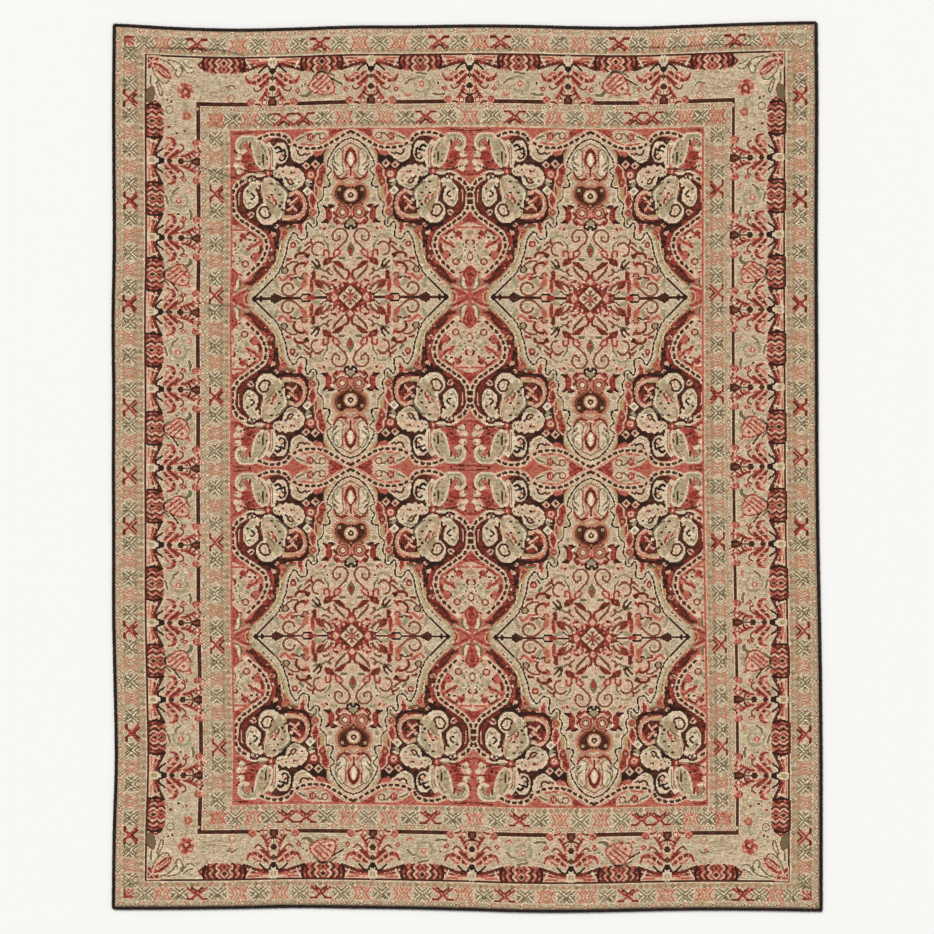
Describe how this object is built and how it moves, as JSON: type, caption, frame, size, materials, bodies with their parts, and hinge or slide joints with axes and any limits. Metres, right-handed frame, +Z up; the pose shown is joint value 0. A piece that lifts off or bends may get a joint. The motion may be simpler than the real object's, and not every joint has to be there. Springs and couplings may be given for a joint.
{
  "type": "bessarabian rug",
  "caption": "Flat knotted floor rug with four linked medallions on a rose ground, flowered borders and a narrow dark edge binding.",
  "frame": {"origin": "on the floor under the middle of the rug's box", "axes": "+Z up out of the pile, +Y along the rug's length towards its head end, +X across its width to the right"},
  "size_m": [2.4502, 3.0706, 0.0105],
  "materials": {
    "rug_pile": "short worn wool pile, knotted pattern",
    "edge_binding": "overcast dark wool yarn"
  },
  "bodies": {
    "root": {"rug_cloth": "rug_pile", "binding_head": "edge_binding", "binding_foot": "edge_binding", "binding_left": "edge_binding", "binding_right": "edge_binding"}
  },
  "joints": []
}
